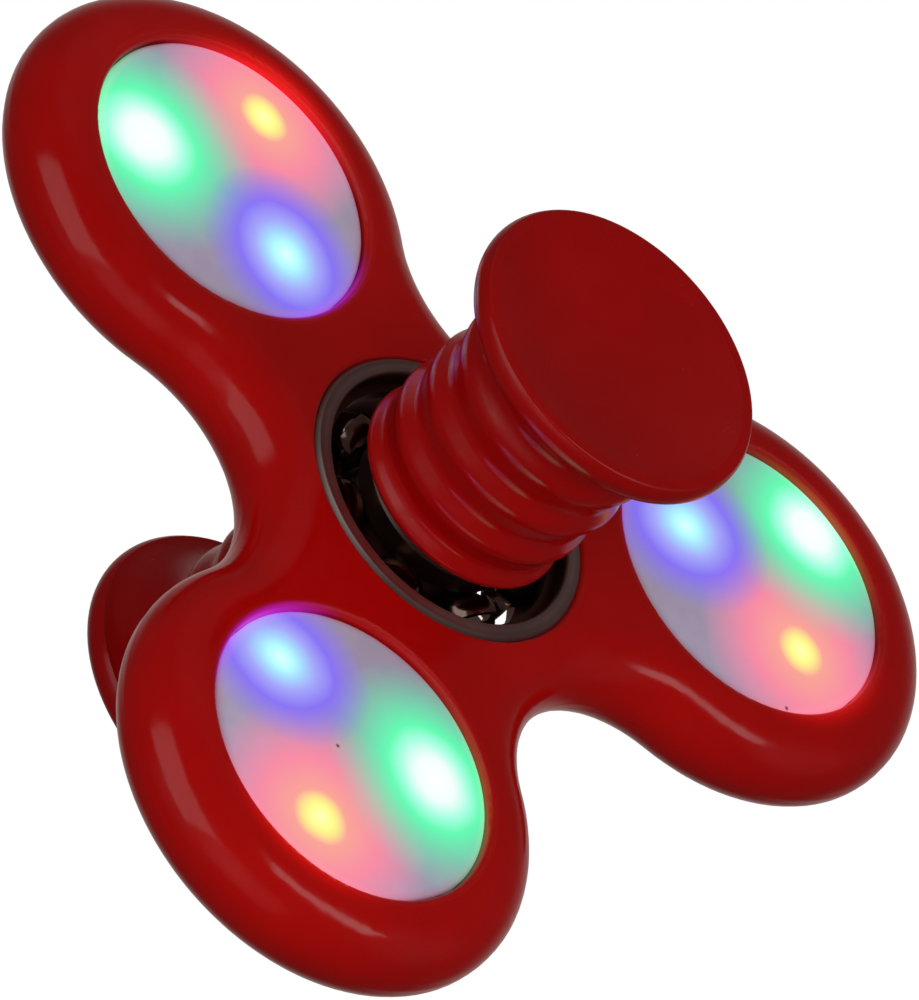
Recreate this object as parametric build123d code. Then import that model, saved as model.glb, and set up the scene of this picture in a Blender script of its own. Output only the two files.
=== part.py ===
"""Three-lobed finger spinner with a ball bearing, tall grip caps and three light modules.

Millimetres.  The origin is the centre of the bearing.  +Z is the spin axis and points out of the
front, lit side.  Lobe A points along +Y, lobe B along 330 degrees and lobe C along 210 degrees.
Each function makes one kind of piece; the loop at the end writes one STEP file per piece.
"""
import os
from math import cos, radians, sin

from build123d import *

# Frame: three round lobes joined by hollow arcs
LOBE_PITCH = 26.25           # spin axis to the centre of each light module
LOBE_R = 15.9                # outer radius of a lobe
NECK_R = 15.1                # spin axis to the bottom of the hollow between two lobes
FRAME_HALF = 3.5             # half the frame's thickness
EDGE_WIDTH = 4.3             # width of the rounded band along the frame's outer edges
BORE_R = 11.0                # the bearing's bore and the three module bores
BORE_ROUND = 0.4             # rounding of the lips of the four bores
CUTTER_HALF = 8.0
LOBE_ANGLES = {"a": 90, "b": 330, "c": 210}

# Bearing, 608 size
BEARING_OUTER_R = 11.0
BEARING_BORE_R = 4.0
BEARING_HALF = 3.5
RECESS_R = 9.75              # inner edge of the outer ring's face
OUTER_SHOULDER_R = 9.1
SHOULDER_HALF = 2.1
INNER_SHOULDER_R = 6.3
RING_CHAMFER = 0.3
RECESS_CHAMFER = 0.1
BALL_R = 3.969 / 2
BALL_PITCH_R = 7.5
BALL_COUNT = 7
FIRST_BALL_ANGLE = 103
RACE_R = 2.05                # groove radius, a little more than the balls'
CAGE_STRIP = 0.35            # thickness of the cage's pressed strip
CAGE_HALF_WIDTH = 0.65
CAGE_POCKET_R = BALL_R + 0.06
RIVET_R = 0.3

# Grip caps
STEM_R = 7.5                 # stem at the bottom of the grooves
RIB_R = 7.95                 # stem at the crest of the ribs
FOOT_R = 7.7                 # foot next to the bearing
FOOT_Z = 4.4                 # foot stands this far off the bearing's middle
SEAT_R = 5.9                 # step that sits on the inner ring
RIB_PITCH = 3.7
RIB_COUNT = 4
FIRST_RIB_Z = 5.05
GROOVE_ABOVE_RIB = 0.95      # each rib drops quickly to its groove, then swells to the next
FLARE_R = 8.7                # where the stem flares out to the head
FLARE_Z = 19.5
FRONT_HEAD_R = 11.1          # widest part of the heads
REAR_HEAD_R = 11.7
HEAD_Z = 21.4
FACE_IN = 0.35               # the rim face starts this far inside the widest part
RIM_ROUND = 0.25
CAP_TOP = 22.5
UNDERSIDE_IN = 0.4           # where the underside of the head turns into its edge
UNDERSIDE_Z = 20.6
DISH_IN = 1.1                # the dish starts this far inside the widest part
DISH_DEPTH = 0.9
SPIGOT_R = 3.98
SPIGOT_END = 0.1             # the two spigots nearly meet in the middle of the bore

# Light module
MODULE_R = 10.95
LENS_R = 10.9
LENS_EDGE_Z = 3.0
LENS_CROWN_Z = 3.6
LENS_THICK = 1.0
LENS_ROUND = 0.3
SKIRT_OUT_R = 9.55
SKIRT_IN_R = 9.2
CUP_IN_R = 9.6
CUP_TOP = 2.0
COVER_BACK = -3.4
COVER_FRONT = -2.7
BOARD_BACK = -0.35
BOARD_THICK = 0.8
BOARD_R = 9.4
LED_SIDE = 1.9
LED_HEIGHT = 0.6
# Radius and direction of the red, green and blue LED in each module, as its board happens to sit
LED_PLACES = {
    "a": ((6.9, 27), (7.1, 138), (6.4, 270)),
    "b": ((6.3, 266), (8.1, 7), (5.9, 124)),
    "c": ((7.0, 205), (6.6, 324), (7.8, 96)),
}
CELL_R = 3.4                 # LR621 cells, 6.8 by 2.15
CELL_THICK = 2.15
CELL_PITCH_R = 6.0
CELL_CLEAR = 0.08
PLATE_THICK = 0.2
SWITCH_LONG, SWITCH_WIDE, SWITCH_TALL = 4.0, 3.0, 1.4
BUTTON_R = 2.0
BUTTON_HOLE_R = 2.15
BUTTON_FLANGE_R = 2.45
BUTTON_PROUD = 0.3


def at_angle(radius, angle, z=0.0):
    """A point at a radius and an angle from the spin axis or from a module's axis."""
    return (radius * cos(radians(angle)), radius * sin(radians(angle)), z)


def tube(outer, inner, z0, z1):
    """A plain ring between two heights."""
    ring = Cylinder(outer, z1 - z0) - Cylinder(inner, z1 - z0 + 2)
    return Pos(0, 0, (z0 + z1) / 2) * ring


def disc(radius, z0, z1):
    return Pos(0, 0, (z0 + z1) / 2) * Cylinder(radius, z1 - z0)


# ---------------------------------------------------------------- frame

def lobe_outline():
    """Outline of the frame: three lobe arcs and the three hollow arcs that touch them."""
    offset = NECK_R - LOBE_PITCH / 2
    hollow_r = (0.75 * LOBE_PITCH ** 2 + offset ** 2 - LOBE_R ** 2) / (2 * (LOBE_R - offset))
    hollow_pitch = NECK_R + hollow_r
    arcs = []
    for angle in LOBE_ANGLES.values():
        lobe = Vector(*at_angle(LOBE_PITCH, angle))
        before = Vector(*at_angle(hollow_pitch, angle - 60))
        after = Vector(*at_angle(hollow_pitch, angle + 60))
        following = Vector(*at_angle(LOBE_PITCH, angle + 120))
        start = lobe + (before - lobe).normalized() * LOBE_R
        end = lobe + (after - lobe).normalized() * LOBE_R
        tip = Vector(*at_angle(LOBE_PITCH + LOBE_R, angle))
        neck = Vector(*at_angle(NECK_R, angle + 60))
        next_start = following + (after - following).normalized() * LOBE_R
        arcs.append(ThreePointArc(start, tip, end))
        arcs.append(ThreePointArc(end, neck, next_start))
    return make_face(Wire(arcs))


def bore_cutter():
    """Cutter for a bore whose two lips flare out in quarter rounds."""
    side = [Line((0, 0, -CUTTER_HALF), (BORE_R + BORE_ROUND, 0, -CUTTER_HALF))]
    side.append(Line(side[-1] @ 1, (BORE_R + BORE_ROUND, 0, -FRAME_HALF)))
    side.append(quarter_lip(-1))
    side.append(Line(side[-1] @ 1, (BORE_R, 0, FRAME_HALF - BORE_ROUND)))
    side.append(quarter_lip(1))
    side.append(Line(side[-1] @ 1, (BORE_R + BORE_ROUND, 0, CUTTER_HALF)))
    side.append(Line(side[-1] @ 1, (0, 0, CUTTER_HALF)))
    side.append(Line((0, 0, CUTTER_HALF), (0, 0, -CUTTER_HALF)))
    return revolve(make_face(Wire(side)), Axis.Z)


def quarter_lip(end):
    """Rounded lip of a bore, drawn upwards; end is -1 at the back and 1 at the front."""
    wall = (BORE_R, 0, end * (FRAME_HALF - BORE_ROUND))
    face = (BORE_R + BORE_ROUND, 0, end * FRAME_HALF)
    corner = sin(radians(45)) * BORE_ROUND
    middle = (BORE_R + BORE_ROUND - corner, 0, end * (FRAME_HALF - BORE_ROUND + corner))
    return ThreePointArc(wall, middle, face) if end > 0 else ThreePointArc(face, middle, wall)


def spinner_frame():
    """Pillow-shaped plate: its edges are circular rounds flattened to EDGE_WIDTH by FRAME_HALF."""
    plate = extrude(lobe_outline(), EDGE_WIDTH + 0.1, both=True)
    rims = plate.edges().filter_by(lambda edge: abs(edge.center().Z) > EDGE_WIDTH)
    plate = scale(fillet(rims, EDGE_WIDTH), by=(1, 1, FRAME_HALF / (EDGE_WIDTH + 0.1)))
    bores = [Pos(0, 0, 0)] + [Pos(*at_angle(LOBE_PITCH, angle)) for angle in LOBE_ANGLES.values()]
    for place in bores:
        plate -= place * bore_cutter()
    return plate


# ---------------------------------------------------------------- bearing

def race_groove():
    return Torus(BALL_PITCH_R, RACE_R)


def bearing_outer_ring():
    """Outer race: a full-height rim with a recessed shoulder on each side of the groove."""
    rim = tube(BEARING_OUTER_R, RECESS_R, -BEARING_HALF, BEARING_HALF)
    rim = chamfer(rim.edges().filter_by(GeomType.CIRCLE).sort_by(SortBy.RADIUS)[-2:], RING_CHAMFER)
    rim = chamfer(rim.edges().filter_by(GeomType.CIRCLE).sort_by(SortBy.RADIUS)[:2], RECESS_CHAMFER)
    shoulder = tube(RECESS_R + 0.2, OUTER_SHOULDER_R, -SHOULDER_HALF, SHOULDER_HALF)
    return rim + shoulder - race_groove()


def bearing_inner_ring():
    ring = tube(INNER_SHOULDER_R, BEARING_BORE_R, -BEARING_HALF, BEARING_HALF)
    ring = chamfer(ring.edges().filter_by(GeomType.CIRCLE), RING_CHAMFER)
    return ring - race_groove()


def ball_angle(index):
    return FIRST_BALL_ANGLE + index * 360 / BALL_COUNT


def bearing_ball(index):
    return Pos(*at_angle(BALL_PITCH_R, ball_angle(index))) * Sphere(BALL_R)


def rivet_places():
    """Points halfway between neighbouring balls."""
    return [Pos(*at_angle(BALL_PITCH_R, ball_angle(index + 0.5))) for index in range(BALL_COUNT)]


def ball_spheres(radius):
    return [Pos(*at_angle(BALL_PITCH_R, ball_angle(index))) * Sphere(radius) for index in range(BALL_COUNT)]


def cage_half(side):
    """One pressed ribbon of the cage: a flat ring that arches over each ball."""
    band = tube(BALL_PITCH_R + CAGE_HALF_WIDTH, BALL_PITCH_R - CAGE_HALF_WIDTH, 0, 4)
    half = tube(BALL_PITCH_R + CAGE_HALF_WIDTH, BALL_PITCH_R - CAGE_HALF_WIDTH, 0, CAGE_STRIP)
    for arch in ball_spheres(CAGE_POCKET_R + CAGE_STRIP):
        half += arch & band
    for pocket in ball_spheres(CAGE_POCKET_R):
        half -= pocket
    for place in rivet_places():
        half -= place * Cylinder(RIVET_R, 4)
    return half if side > 0 else mirror(half, Plane.XY)


def cage_rivets():
    """The rivets that hold the two halves of the cage together."""
    head_z = CAGE_STRIP + 0.15
    rivet = disc(RIVET_R, -head_z, head_z)
    for side in (-1, 1):
        rivet += Pos(0, 0, side * (CAGE_STRIP + 0.1)) * Cylinder(RIVET_R + 0.2, 0.2)
    return Compound(children=[place * rivet for place in rivet_places()])


# ---------------------------------------------------------------- grip caps

def cap_flank(head_r):
    """Side of a cap from its foot up to its head: ribs and grooves, then the flare."""
    points = [Vector(FOOT_R - 0.4, 0, FOOT_Z), Vector(FOOT_R, 0, FOOT_Z + 0.25)]
    for rib in range(RIB_COUNT):
        crest = FIRST_RIB_Z + rib * RIB_PITCH
        points.append(Vector(RIB_R, 0, crest))
        points.append(Vector(STEM_R, 0, crest + GROOVE_ABOVE_RIB))
    points.append(Vector(FLARE_R, 0, FLARE_Z))
    points.append(Vector(head_r - UNDERSIDE_IN, 0, UNDERSIDE_Z))
    return Spline(*points)


def grip_cap(head_r):
    """Ribbed stem with a flared, dished head; its spigot presses into the bearing's bore."""
    flank = cap_flank(head_r)
    foot = Line((0, 0, FOOT_Z), flank @ 0)
    edge = ThreePointArc(flank @ 1, (head_r, 0, HEAD_Z), (head_r - FACE_IN, 0, CAP_TOP))
    face = Line(edge @ 1, (0, 0, CAP_TOP))
    core = Line((0, 0, CAP_TOP), (0, 0, FOOT_Z))
    cap = revolve(make_face(Wire([foot, flank, edge, face, core])), Axis.Z)
    cap = fillet(cap.edges().group_by(Axis.Z)[-1], RIM_ROUND)
    dish_sphere_r = ((head_r - DISH_IN) ** 2 + DISH_DEPTH ** 2) / (2 * DISH_DEPTH)
    cap -= Pos(0, 0, CAP_TOP - DISH_DEPTH + dish_sphere_r) * Sphere(dish_sphere_r)
    seat = disc(SEAT_R, BEARING_HALF, FOOT_Z + 0.2)
    spigot = disc(SPIGOT_R, SPIGOT_END, FOOT_Z + 0.2)
    spigot = chamfer(spigot.edges().group_by(Axis.Z)[0], 0.4)
    return cap + seat + spigot


# ---------------------------------------------------------------- light module, about its own axis

def lens():
    crown = LENS_CROWN_Z - LENS_EDGE_Z
    sphere_r = (LENS_R ** 2 + crown ** 2) / (2 * crown)
    outer = Pos(0, 0, LENS_CROWN_Z - sphere_r) * Sphere(sphere_r)
    inner = Pos(0, 0, LENS_CROWN_Z - LENS_THICK - sphere_r) * Sphere(sphere_r)
    dome = disc(LENS_R, CUP_TOP, 5) & outer
    rim = dome.edges().filter_by_position(Axis.Z, LENS_EDGE_Z - 0.01, LENS_EDGE_Z + 0.01)
    dome = fillet(rim, LENS_ROUND)
    dome -= disc(SKIRT_IN_R, 0, 5) & inner
    skirt = tube(SKIRT_OUT_R, SKIRT_IN_R, BOARD_BACK + BOARD_THICK, CUP_TOP + 0.05)
    return dome + skirt


def module_cup():
    """Housing ring with a web that holds the three cells around the switch."""
    ring = tube(MODULE_R, CUP_IN_R, COVER_FRONT, CUP_TOP)
    web = disc(CUP_IN_R + 0.1, COVER_FRONT + PLATE_THICK, BOARD_BACK)
    web -= disc(BUTTON_FLANGE_R + 0.25, -4, 1)
    for angle in cell_angles():
        web -= Pos(*at_angle(CELL_PITCH_R, angle)) * Cylinder(CELL_R + CELL_CLEAR, 8)
    return ring + web


def cell_angles():
    return (30, 150, 270)


def circuit_board():
    return disc(BOARD_R, BOARD_BACK, BOARD_BACK + BOARD_THICK)


def led(radius, angle):
    """Surface-mounted LED: a square case with a low clear dome."""
    base = BOARD_BACK + BOARD_THICK
    case = Pos(0, 0, base + LED_HEIGHT / 2) * Box(LED_SIDE, LED_SIDE, LED_HEIGHT)
    dome = Pos(0, 0, base + LED_HEIGHT - 0.9) * Sphere(1.1)
    dome &= disc(2, base + LED_HEIGHT - 0.1, base + 2)
    return Pos(*at_angle(radius, angle)) * Rot(0, 0, angle) * (case + dome)


def controller():
    """Resin blob over the driver chip."""
    base = BOARD_BACK + BOARD_THICK
    blob = Pos(0, 0, base - 3.2) * Sphere(4.1)
    return blob & disc(5, base, base + 2)


def button_cell(angle):
    """Button cell with a stepped negative can, standing on the contact plate."""
    back = COVER_FRONT + PLATE_THICK
    can = disc(CELL_R, back + 0.35, back + CELL_THICK)
    can = fillet(can.edges().group_by(Axis.Z)[-1], 0.25)
    step = disc(CELL_R - 0.55, back, back + 0.4)
    return Pos(*at_angle(CELL_PITCH_R, angle)) * (can + step)


def contact_plate():
    plate = disc(CUP_IN_R - 0.3, COVER_FRONT, COVER_FRONT + PLATE_THICK)
    plate -= disc(BUTTON_FLANGE_R + 0.25, -4, 0)
    for angle in cell_angles():
        plate -= Pos(*at_angle(CUP_IN_R - 0.3, angle + 60, COVER_FRONT)) * Cylinder(3.0, 2)
    return plate


def switch_body():
    front = BOARD_BACK
    case = Pos(0, 0, front - SWITCH_TALL / 2) * Box(SWITCH_WIDE, SWITCH_LONG, SWITCH_TALL)
    return chamfer(case.edges().group_by(Axis.Z)[0], 0.2)


def rear_cover():
    cover = disc(MODULE_R - 0.1, COVER_BACK, COVER_FRONT)
    cover = fillet(cover.edges().group_by(Axis.Z)[0], 0.4)
    return cover - disc(BUTTON_HOLE_R, COVER_BACK - 1, COVER_FRONT + 1)


def mode_button():
    """Push pad held behind the cover by its flange."""
    pad = disc(BUTTON_R, COVER_BACK - BUTTON_PROUD, COVER_FRONT + 0.05)
    pad = fillet(pad.edges().group_by(Axis.Z)[0], 0.25)
    return pad + disc(BUTTON_FLANGE_R, COVER_FRONT + 0.01, COVER_FRONT + 0.4)


# ---------------------------------------------------------------- all pieces

def build():
    pieces = {
        "spinner_frame": spinner_frame(),
        "bearing_outer_ring": bearing_outer_ring(),
        "bearing_inner_ring": bearing_inner_ring(),
        "cage_front_half": cage_half(1),
        "cage_rear_half": cage_half(-1),
        "cage_rivets": cage_rivets(),
        "front_grip_cap": grip_cap(FRONT_HEAD_R),
        "rear_grip_cap": Rot(180, 0, 0) * grip_cap(REAR_HEAD_R),
    }
    for index in range(BALL_COUNT):
        pieces[f"bearing_ball_{index + 1}"] = bearing_ball(index)
    for letter, direction in LOBE_ANGLES.items():
        place = Pos(*at_angle(LOBE_PITCH, direction))
        module = {
            "lens": lens(),
            "module_cup": module_cup(),
            "circuit_board": circuit_board(),
            "controller": controller(),
            "contact_plate": contact_plate(),
            "switch_body": switch_body(),
            "rear_cover": rear_cover(),
            "mode_button": mode_button(),
        }
        for colour, spot in zip(("red", "green", "blue"), LED_PLACES[letter]):
            module[f"{colour}_led"] = led(*spot)
        for number, angle in enumerate(cell_angles(), start=1):
            module[f"button_cell_{number}"] = button_cell(angle)
        for name, shape in module.items():
            pieces[f"{name}_{letter}"] = place * shape
    return pieces


os.makedirs("parts", exist_ok=True)
for node, shape in build().items():
    export_step(shape, f"parts/{node}.step")
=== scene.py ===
"""Looks for the light-up finger spinner: every material, the stage, the lights and the camera.

Metres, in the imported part's frame: +Z is the spin axis and points out of the front, lit side.
"""
from math import cos, radians, sin

import bpy
from mathutils import Matrix, Vector


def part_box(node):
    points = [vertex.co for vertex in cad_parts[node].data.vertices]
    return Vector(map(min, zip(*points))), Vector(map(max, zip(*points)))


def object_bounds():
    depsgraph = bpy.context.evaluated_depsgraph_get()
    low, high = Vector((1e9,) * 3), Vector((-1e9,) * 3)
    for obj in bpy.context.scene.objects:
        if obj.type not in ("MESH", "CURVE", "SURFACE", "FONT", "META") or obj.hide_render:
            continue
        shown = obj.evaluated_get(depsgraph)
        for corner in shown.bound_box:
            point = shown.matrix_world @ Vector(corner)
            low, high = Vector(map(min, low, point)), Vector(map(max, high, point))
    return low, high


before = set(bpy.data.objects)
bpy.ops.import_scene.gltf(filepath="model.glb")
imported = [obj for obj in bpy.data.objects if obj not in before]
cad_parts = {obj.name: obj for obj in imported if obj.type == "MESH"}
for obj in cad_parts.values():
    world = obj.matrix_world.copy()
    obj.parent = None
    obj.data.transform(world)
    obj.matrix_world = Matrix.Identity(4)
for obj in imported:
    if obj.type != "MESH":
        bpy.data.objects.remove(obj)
cad_low, cad_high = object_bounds()

MM = 0.001
LETTERS = "abc"
LED_COLOURS = ("red", "green", "blue")


def box_centre(node):
    low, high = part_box(node)
    return (Vector(low) + Vector(high)) / 2


def lens_radius(letter):
    low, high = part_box(f"lens_{letter}")
    return (high[0] - low[0]) / 2


# ---------------------------------------------------------------- node helpers

class Shader:
    """A principled material and short calls for the nodes that feed it."""

    def __init__(self, name, **constants):
        self.material = bpy.data.materials.new(name)
        self.material.use_nodes = True
        self.tree = self.material.node_tree
        self.principled = self.tree.nodes["Principled BSDF"]
        self.coords = self.add("ShaderNodeTexCoord").outputs["Object"]
        for socket, value in constants.items():
            self.set(socket, value)

    def add(self, kind, **settings):
        node = self.tree.nodes.new(kind)
        for key, value in settings.items():
            setattr(node, key, value)
        return node

    def link(self, source, target):
        self.tree.links.new(source, target)

    def put(self, socket, value):
        """Links a node output to a socket, or sets the socket's own value."""
        if isinstance(value, bpy.types.NodeSocket):
            self.link(value, socket)
        else:
            socket.default_value = value

    def set(self, name, value):
        self.put(self.principled.inputs[name], value)

    def math(self, operation, a, b=0.0):
        node = self.add("ShaderNodeMath", operation=operation)
        self.put(node.inputs[0], a)
        self.put(node.inputs[1], b)
        return node.outputs[0]

    def vector(self, operation, a, b):
        node = self.add("ShaderNodeVectorMath", operation=operation)
        self.put(node.inputs[0], a)
        self.put(node.inputs[1], b)
        return node.outputs["Value" if operation == "DISTANCE" else "Vector"]

    def noise(self, scale, detail, roughness=0.5, coords=None):
        """Noise from 0 to 1; the scale is in lumps per metre."""
        node = self.add("ShaderNodeTexNoise")
        self.put(node.inputs["Vector"], coords or self.coords)
        node.inputs["Scale"].default_value = scale
        node.inputs["Detail"].default_value = detail
        node.inputs["Roughness"].default_value = roughness
        return node.outputs["Fac"]

    def ramp(self, value, low, high, out_low, out_high, smooth=False):
        """Goes from out_low to out_high while the value goes from low to high."""
        kind = "SMOOTHSTEP" if smooth else "LINEAR"
        node = self.add("ShaderNodeMapRange", interpolation_type=kind, clamp=True)
        self.put(node.inputs["Value"], value)
        limits = {"From Min": low, "From Max": high, "To Min": out_low, "To Max": out_high}
        for name, limit in limits.items():
            self.put(node.inputs[name], limit)
        return node.outputs["Result"]

    def mix(self, factor, a, b, blend="MIX"):
        node = self.add("ShaderNodeMix", data_type="RGBA", blend_type=blend)
        self.put(node.inputs["Factor"], factor)
        self.put(node.inputs["A"], rgba(a))
        self.put(node.inputs["B"], rgba(b))
        return node.outputs["Result"]

    def gradient(self, value, stops):
        """Colour ramp from (position, colour) pairs; a colour's fourth number is its alpha."""
        node = self.add("ShaderNodeValToRGB")
        elements = node.color_ramp.elements
        while len(elements) < len(stops):
            elements.new(0.5)
        for element, (position, colour) in zip(elements, stops):
            element.position = position
            element.color = rgba(colour)
        self.put(node.inputs["Fac"], value)
        return node.outputs["Color"], node.outputs["Alpha"]

    def height(self):
        """Height of the shaded point along the spin axis, in metres."""
        split = self.add("ShaderNodeSeparateXYZ")
        self.put(split.inputs[0], self.coords)
        return split.outputs["Z"]

    def bump(self, height, strength, distance):
        """Relief of this height pattern; the distance is its depth in metres."""
        node = self.add("ShaderNodeBump")
        self.put(node.inputs["Height"], height)
        node.inputs["Strength"].default_value = strength
        node.inputs["Distance"].default_value = distance
        self.set("Normal", node.outputs["Normal"])


def rgba(colour):
    """A socket as it is, or a colour with its alpha filled in."""
    if isinstance(colour, bpy.types.NodeSocket) or len(colour) == 4:
        return colour
    return (*colour, 1.0)


def srgb(red, green, blue, alpha=1.0):
    """Linear colour from the 0 to 255 values a colour picker shows."""
    def linear(value):
        value /= 255
        return value / 12.92 if value <= 0.04045 else ((value + 0.055) / 1.055) ** 2.4
    return (linear(red), linear(green), linear(blue), alpha)


# ---------------------------------------------------------------- materials

def flat_distance(shader, centre):
    """Distance from the line through centre along the spin axis, in metres."""
    flattened = shader.vector("MULTIPLY", shader.coords, (1, 1, 0))
    return shader.vector("DISTANCE", flattened, (centre.x, centre.y, 0))


def moulded_plastic(shader, colour, dark, gloss, rough, peel=0.03):
    """Colour drift, roughness drift and faint orange peel of an injection moulding."""
    drift = shader.noise(90, 2)
    shader.set("Base Color", shader.mix(shader.ramp(drift, 0.35, 0.65, 0, 1), colour, dark))
    handling = shader.noise(420, 4, 0.65)
    roughness = shader.ramp(handling, 0.35, 0.7, gloss, rough)
    shader.set("Roughness", roughness)
    fine = shader.noise(1500, 2)
    shader.bump(fine, peel, 0.02 * MM)
    shader.set("IOR", 1.5)
    return roughness


# Painted light of each LED colour in the red lips of the bores, given as emission, and how far it
# spreads from the lens
BLEED = {
    "red": (srgb(255, 14, 8), 2.0 * MM),
    "green": (srgb(118, 84, 0), 0.35 * MM),
    "blue": (srgb(200, 0, 255), 0.6 * MM),
}


BLEED_STRENGTH = 0.5
BLEED_NEAR = 2.5 * MM           # the lip glows fully this near an LED, and not at all this far from it
BLEED_FAR = 8 * MM
LIP_ROUGHNESS = 0.42            # the lips of the bores are duller than the rest of the moulding
LIP_START = 0.5 * MM            # from the lens's edge
LIP_END = 1.1 * MM


def red_frame_material():
    """Glossy red moulding with painted LED light: it glows a little around each lit module."""
    shader = Shader("red_frame_plastic")
    roughness = moulded_plastic(shader, srgb(184, 8, 6), srgb(172, 6, 5), 0.10, 0.20)
    in_front = shader.ramp(shader.height(), 0.5 * MM, 2.0 * MM, 0, 1)
    glow = (0, 0, 0)
    for letter in LETTERS:
        lens_r = lens_radius(letter)
        lens_distance = flat_distance(shader, box_centre(f"lens_{letter}"))
        lip = shader.ramp(lens_distance, lens_r + LIP_START, lens_r + LIP_END, LIP_ROUGHNESS, 0)
        roughness = shader.math("MAXIMUM", roughness, lip)
        for colour in LED_COLOURS:
            tint, spread = BLEED[colour]
            near_lens = shader.ramp(lens_distance, lens_r, lens_r + spread, 1, 0, smooth=True)
            led_distance = flat_distance(shader, box_centre(f"{colour}_led_{letter}"))
            near_led = shader.ramp(led_distance, BLEED_NEAR, BLEED_FAR, 1, 0, smooth=True)
            amount = shader.math("MULTIPLY", shader.math("MULTIPLY", near_lens, near_led), in_front)
            # Painted LED light: emission on the frame near each LED and lens
            glow = shader.mix(amount, glow, tint, blend="ADD")
    shader.set("Roughness", roughness)
    shader.set("Emission Color", glow)
    shader.set("Emission Strength", BLEED_STRENGTH)
    return shader.material


def red_cap_material():
    shader = Shader("red_cap_plastic")
    moulded_plastic(shader, srgb(168, 4, 5), srgb(156, 3, 4), 0.18, 0.28, peel=0.4)
    return shader.material


# Painted glow of an LED seen through the frosted lens, given as emission, as (distance, colour) stops.
# The distance is in parts of GLOW_REACH, and a colour's fourth number is how much of the lens's own
# colour it covers.
GLOW_REACH = 12 * MM
GLOW = {
    "red": [
        (0.00, srgb(255, 255, 185)),
        (0.07, srgb(255, 254, 145)),
        (0.11, srgb(255, 234, 140, 0.98)),
        (0.17, srgb(255, 165, 150, 0.94)),
        (0.38, srgb(255, 138, 164, 0.90)),
        (0.72, srgb(246, 140, 184, 0.0)),
    ],
    "green": [
        (0.00, srgb(255, 255, 255)),
        (0.13, srgb(245, 255, 255)),
        (0.24, srgb(165, 255, 225)),
        (0.33, srgb(95, 255, 180, 0.95)),
        (0.45, srgb(95, 240, 180, 0.70)),
        (0.75, srgb(110, 200, 185, 0.0)),
    ],
    "blue": [
        (0.00, srgb(225, 255, 255)),
        (0.08, srgb(180, 255, 255)),
        (0.15, srgb(165, 214, 255, 0.98)),
        (0.22, srgb(165, 168, 255, 0.93)),
        (0.34, srgb(132, 108, 255, 0.85)),
        (0.58, srgb(140, 125, 235, 0.0)),
    ],
}
GLOW_WOBBLE = 0.8 * MM          # unevenness of the frosting
LENS_RIM = 0.7 * MM             # painted red light and reflection of the frame tint the lens this far in from its edge
RIM_TINT = 0.45
# Dark specks in the lenses, in millimetres from the centre of the lens
SPECKS = {"b": (-4.8, -9.4), "c": (-1.3, 0.8)}
SPECK_R = 0.13 * MM


def lens_material(letter):
    """Frosted diffuser with the light of its own module's LEDs painted on as emission."""
    shader = Shader(f"frosted_lens_{letter}")
    grain = shader.noise(700, 4, 0.6)
    body = shader.mix(shader.ramp(grain, 0.3, 0.7, 0, 1), srgb(208, 198, 226), srgb(200, 190, 219))
    light = (0, 0, 0)
    for colour in LED_COLOURS:
        distance = flat_distance(shader, box_centre(f"{colour}_led_{letter}"))
        wobble = shader.math("MULTIPLY", shader.math("SUBTRACT", shader.noise(160, 2), 0.5), GLOW_WOBBLE)
        reach = shader.math("DIVIDE", shader.math("ADD", distance, wobble), GLOW_REACH)
        tint, strength = shader.gradient(reach, GLOW[colour])
        # Painted LED glow: emission by distance from each LED
        light = shader.mix(strength, light, tint)
        body = shader.mix(strength, body, (0, 0, 0))
    centre = box_centre(f"lens_{letter}")
    lens_r = lens_radius(letter)
    # Painted reflection of the red frame along the lens's edge
    rim = shader.ramp(flat_distance(shader, centre), lens_r - LENS_RIM, lens_r, 0, RIM_TINT)
    body = shader.mix(rim, body, srgb(226, 100, 124))
    if letter in SPECKS:
        place = centre + Vector((*SPECKS[letter], 0)) * MM
        speck = shader.ramp(flat_distance(shader, place), SPECK_R * 0.5, SPECK_R * 1.5, 0.85, 0)
        body = shader.mix(speck, body, srgb(60, 20, 30))
        light = shader.mix(speck, light, (0, 0, 0))
    shader.set("Base Color", body)
    shader.set("Emission Color", light)
    shader.set("Emission Strength", 1.0)
    shader.set("Roughness", shader.ramp(grain, 0.3, 0.7, 0.34, 0.46))
    shader.set("IOR", 1.45)
    shader.bump(shader.noise(2600, 3), 0.06, 0.02 * MM)
    return shader.material


# Painted shade, partly oil film: steel deeper inside the bearing than the ring faces is darkened to this
# brown
SHADE_AND_OIL_STEEL = srgb(124, 92, 82)     # painted shade between the rings, partly brown oil film
SHADE_AND_OIL_FULL_Z = 3.0 * MM
SHADE_AND_OIL_END_Z = 3.45 * MM


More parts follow.
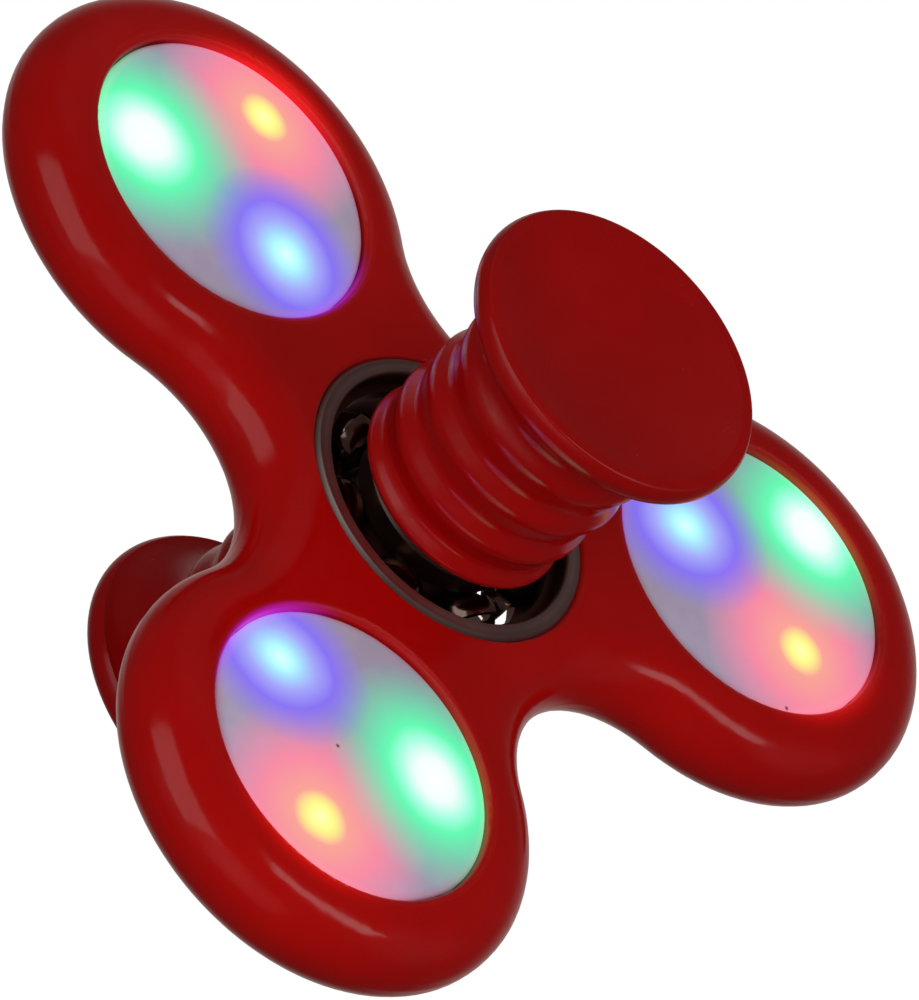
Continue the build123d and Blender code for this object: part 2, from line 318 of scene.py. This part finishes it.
def turned_steel(name, light, dark, rough):
    """Steel ground on a lathe: fine rings about the spin axis, and painted shade, partly oil, deep
    between the rings.
    """
    shader = Shader(name, Metallic=1.0)
    ring_coords = shader.add("ShaderNodeCombineXYZ")
    shader.put(ring_coords.inputs["X"], flat_distance(shader, Vector()))
    rings = shader.noise(2200, 3, 0.6, coords=ring_coords.outputs["Vector"])
    smudge = shader.noise(160, 3)
    ring_tone = shader.ramp(rings, 0.3, 0.7, 0.2, 1)
    smudge_tone = shader.ramp(smudge, 0.3, 0.7, 0.5, 1)
    surface = shader.mix(shader.math("MULTIPLY", ring_tone, smudge_tone), dark, light)
    # Painted shade, partly oil: the steel turns brown deeper inside the bearing than the ring faces
    painted_shade_and_oil = shader.ramp(shader.math("ABSOLUTE", shader.height()), SHADE_AND_OIL_FULL_Z, SHADE_AND_OIL_END_Z, 1, 0)
    shader.set("Base Color", shader.mix(painted_shade_and_oil, surface, SHADE_AND_OIL_STEEL))
    shader.set("Roughness", shader.ramp(smudge, 0.3, 0.7, rough * 0.8, rough * 1.3))
    shader.bump(rings, 0.08, 0.01 * MM)
    return shader.material


def plain_steel(name, light, dark, rough):
    shader = Shader(name, Metallic=1.0)
    stain = shader.noise(500, 4, 0.6)
    shader.set("Base Color", shader.mix(shader.ramp(stain, 0.35, 0.7, 0, 1), light, dark))
    shader.set("Roughness", shader.ramp(stain, 0.3, 0.7, rough * 0.7, rough * 1.4))
    shader.bump(shader.noise(1800, 3), 0.05, 0.01 * MM)
    return shader.material


def satin_plastic(name, colour, dark, rough):
    shader = Shader(name)
    moulded_plastic(shader, colour, dark, rough * 0.85, rough * 1.2, peel=0.12)
    return shader.material


def board_material():
    """Green solder mask over copper tracks."""
    shader = Shader("circuit_board_mask", Roughness=0.35)
    tracks = shader.add("ShaderNodeTexVoronoi", feature="DISTANCE_TO_EDGE", distance="MANHATTAN")
    shader.put(tracks.inputs["Vector"], shader.coords)
    tracks.inputs["Scale"].default_value = 420
    line = shader.ramp(tracks.outputs["Distance"], 0.05, 0.09, 1, 0)
    shader.set("Base Color", shader.mix(line, srgb(24, 92, 48), srgb(52, 130, 70)))
    shader.bump(line, 0.3, 0.03 * MM)
    return shader.material


LED_TINT = {"red": srgb(255, 70, 50), "green": srgb(90, 255, 140), "blue": srgb(90, 110, 255)}
LED_STRENGTH = 2.0


def led_material(colour):
    shader = Shader(f"{colour}_led_lit", Roughness=0.25)
    tint = LED_TINT[colour]
    cloud = shader.ramp(shader.noise(1500, 2), 0.3, 0.7, 0.6, 1.0)
    shader.set("Base Color", shader.mix(cloud, (0.2, 0.2, 0.2), tint))
    shader.set("Emission Color", shader.mix(cloud, (0, 0, 0), tint))
    shader.set("Emission Strength", LED_STRENGTH)
    return shader.material


def give(material, *nodes):
    """Puts one material on whole CAD nodes."""
    for node in nodes:
        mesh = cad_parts[node].data
        mesh.materials.clear()
        mesh.materials.append(material)
        mesh.polygons.foreach_set("material_index", [0] * len(mesh.polygons))


def per_module(name):
    return [f"{name}_{letter}" for letter in LETTERS]


def dress_outside():
    give(red_frame_material(), "spinner_frame")
    give(red_cap_material(), "front_grip_cap", "rear_grip_cap")
    for letter in LETTERS:
        give(lens_material(letter), f"lens_{letter}")
    housing = satin_plastic("module_housing_plastic", srgb(205, 202, 206), srgb(188, 184, 190), 0.4)
    give(housing, *per_module("module_cup"), *per_module("rear_cover"))
    rubber = satin_plastic("button_rubber", srgb(196, 193, 198), srgb(176, 172, 180), 0.55)
    give(rubber, *per_module("mode_button"))


def dress_bearing():
    rings = turned_steel("bearing_ring_steel", srgb(214, 198, 194), srgb(160, 144, 140), 0.5)
    give(rings, "bearing_outer_ring", "bearing_inner_ring")
    cage = plain_steel("cage_steel", srgb(172, 146, 136), srgb(112, 88, 80), 0.14)
    give(cage, "cage_front_half", "cage_rear_half", "cage_rivets")
    balls = plain_steel("ball_steel", srgb(205, 196, 190), srgb(160, 146, 140), 0.07)
    give(balls, *[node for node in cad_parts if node.startswith("bearing_ball_")])


def dress_electronics():
    give(board_material(), *per_module("circuit_board"))
    resin = satin_plastic("potting_resin", srgb(18, 18, 20), srgb(10, 10, 12), 0.2)
    give(resin, *per_module("controller"))
    switch = satin_plastic("switch_plastic", srgb(30, 30, 33), srgb(18, 18, 20), 0.4)
    give(switch, *per_module("switch_body"))
    strip = plain_steel("contact_strip_steel", srgb(190, 182, 170), srgb(150, 142, 130), 0.3)
    give(strip, *per_module("contact_plate"))
    can = plain_steel("cell_can_nickel", srgb(200, 200, 198), srgb(160, 160, 160), 0.22)
    for number in (1, 2, 3):
        give(can, *per_module(f"button_cell_{number}"))
    for colour in LED_COLOURS:
        give(led_material(colour), *per_module(f"{colour}_led"))


# ---------------------------------------------------------------- stage, lights, camera

FLOOR_R = 4
SURROUND_R = 5


def white_stage():
    """White floor under the rear cap and a white surround; neither shows in the gloss."""
    material = bpy.data.materials.new("stage_white")
    material.use_nodes = True
    nodes = material.node_tree.nodes
    nodes.clear()
    glow = nodes.new("ShaderNodeEmission")
    glow.inputs["Color"].default_value = (1, 1, 1, 1)
    output = nodes.new("ShaderNodeOutputMaterial")
    material.node_tree.links.new(glow.outputs[0], output.inputs["Surface"])
    under = (0, 0, cad_low[2])
    bpy.ops.mesh.primitive_circle_add(vertices=96, radius=FLOOR_R, fill_type="NGON", location=under)
    floor = bpy.context.object
    bpy.ops.mesh.primitive_uv_sphere_add(segments=64, ring_count=32, radius=SURROUND_R)
    surround = bpy.context.object
    for name, piece in (("floor", floor), ("surround", surround)):
        piece.name = name
        piece.data.materials.append(material)
        piece.visible_glossy = False
        piece.visible_diffuse = False
        piece.visible_shadow = False
        piece.visible_transmission = False


def toward(azimuth, elevation, distance=1.0):
    """Point at an azimuth from +X, an elevation above the frame's plane and a distance."""
    flat = cos(radians(elevation))
    height = sin(radians(elevation))
    return Vector((cos(radians(azimuth)) * flat, sin(radians(azimuth)) * flat, height)) * distance


LIGHT_DISTANCE = 0.6


def softbox(name, azimuth, elevation, size, power, mirrored=True):
    """Area light facing the object; a fill light that is not mirrored stays out of the gloss."""
    light = bpy.data.lights.new(name, "AREA")
    light.shape = "RECTANGLE"
    light.size, light.size_y = size
    light.energy = power
    lamp = bpy.data.objects.new(name, light)
    lamp.location = toward(azimuth, elevation, LIGHT_DISTANCE)
    lamp.rotation_mode = "QUATERNION"
    lamp.rotation_quaternion = lamp.location.to_track_quat("Z", "Y")
    lamp.visible_glossy = mirrored
    bpy.context.scene.collection.objects.link(lamp)


CAMERA_AZIMUTH = -168.8
CAMERA_ELEVATION = 38.45
CAMERA_ROLL = -49.19         # leans the spin axis to the right in the picture
CAMERA_DISTANCE = 0.8016
CAMERA_LENS = 432
AIM = Vector((1.97, -0.13, 2.4)) * MM


SWEEP_COLOUR = (1, 0.74, 0.70, 1)


def sweep_world():
    """Dim room that brightens towards the warm sweep behind the object."""
    world = bpy.data.worlds.new("studio")
    world.use_nodes = True
    nodes, links = world.node_tree.nodes, world.node_tree.links
    direction = nodes.new("ShaderNodeTexCoord")
    facing = nodes.new("ShaderNodeVectorMath")
    facing.operation = "DOT_PRODUCT"
    facing.inputs[1].default_value = -toward(CAMERA_AZIMUTH, CAMERA_ELEVATION)
    strength = nodes.new("ShaderNodeMapRange")
    strength.interpolation_type = "SMOOTHSTEP"
    limits = {"From Min": 0.55, "From Max": 1.0, "To Min": 0.07, "To Max": 0.45}
    for name, limit in limits.items():
        strength.inputs[name].default_value = limit
    links.new(direction.outputs["Generated"], facing.inputs[0])
    links.new(facing.outputs["Value"], strength.inputs["Value"])
    background = nodes["Background"]
    background.inputs["Color"].default_value = SWEEP_COLOUR
    links.new(strength.outputs["Result"], background.inputs["Strength"])
    bpy.context.scene.world = world


FILL_SIZE = (0.4, 0.4)


def studio():
    """Lights by azimuth and elevation in degrees, size in metres and power in watts."""
    sweep_world()
    softbox("window_softbox", 146, 35, (0.50, 0.42), 0.46)
    softbox("overhead_strip", -62, 68, (0.10, 0.30), 0.15)
    softbox("camera_fill", -162, 36, FILL_SIZE, 1.52, mirrored=False)
    softbox("left_fill", 160, 12, FILL_SIZE, 0.42, mirrored=False)
    softbox("right_fill", -60, 35, FILL_SIZE, 0.72, mirrored=False)
    softbox("back_fill", 45, 40, FILL_SIZE, 0.55, mirrored=False)
    bpy.context.scene.view_settings.view_transform = "Standard"


def camera():
    data = bpy.data.cameras.new("camera")
    data.lens = CAMERA_LENS
    data.sensor_width = 36
    data.clip_start, data.clip_end = 0.05, 20
    back = toward(CAMERA_AZIMUTH, CAMERA_ELEVATION)
    level_right = Vector((0, 0, 1)).cross(back).normalized()
    level_up = back.cross(level_right)
    roll = radians(CAMERA_ROLL)
    up = level_up * cos(roll) + level_right * sin(roll)
    right = up.cross(back)
    placed = Matrix((right, up, back)).transposed().to_4x4()
    placed.translation = AIM + back * CAMERA_DISTANCE
    view = bpy.data.objects.new("camera", data)
    view.matrix_world = placed
    bpy.context.scene.collection.objects.link(view)
    bpy.context.scene.camera = view


dress_outside()
dress_bearing()
dress_electronics()
white_stage()
studio()
camera()
